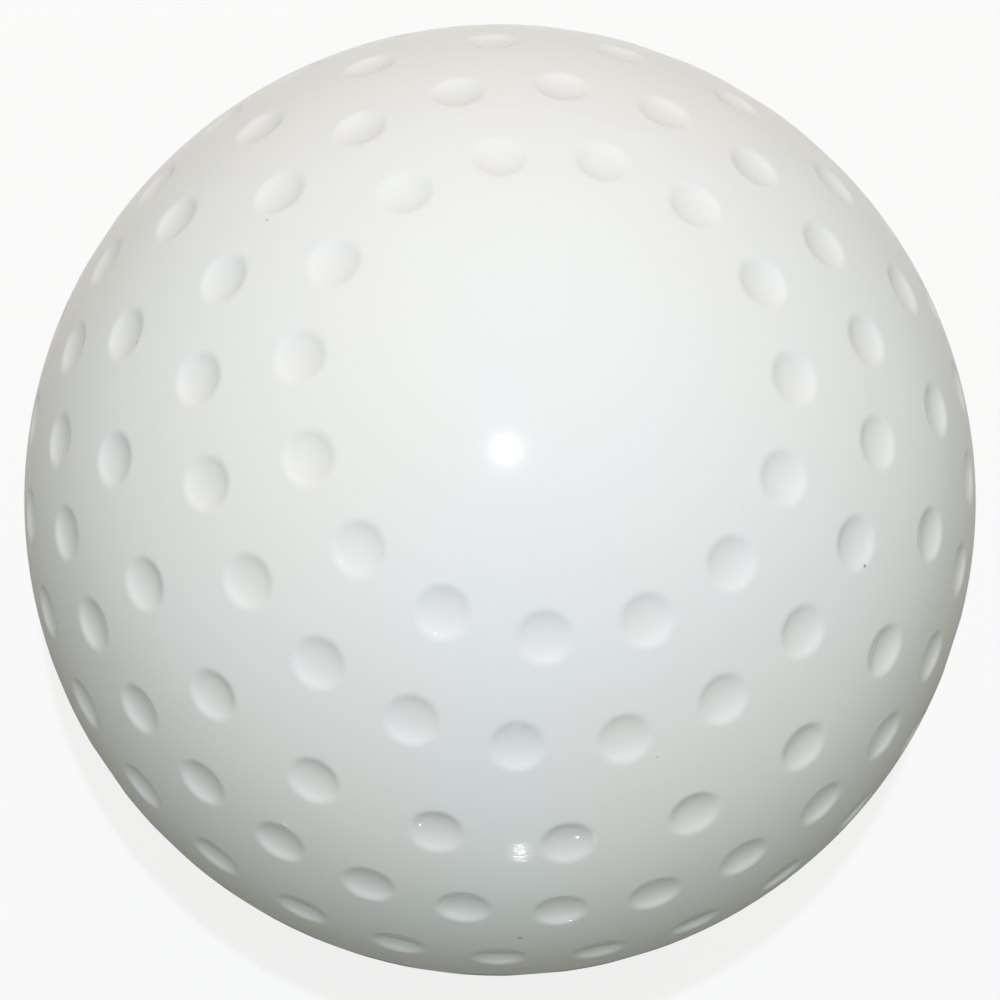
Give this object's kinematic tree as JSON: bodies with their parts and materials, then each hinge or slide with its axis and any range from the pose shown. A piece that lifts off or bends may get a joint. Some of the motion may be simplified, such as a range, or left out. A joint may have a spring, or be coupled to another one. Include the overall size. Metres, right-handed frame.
{
  "type": "field hockey ball",
  "caption": "Hard white plastic ball for field hockey, one round moulding with level rows of shallow round dimples and smooth poles.",
  "frame": {"origin": "middle of the ball", "axes": "+Z through the pole of one mould half, the smooth cap that faces the camera in the picture; XY is the parting plane; +X points at a dimple of the row beside the parting plane"},
  "size_m": [0.073, 0.073, 0.073],
  "materials": {
    "white_plastic": "moulded hard plastic, glossy cool white, with soft dimple rims and a little play dirt"
  },
  "bodies": {
    "root": {"ball": "white_plastic"}
  },
  "joints": []
}
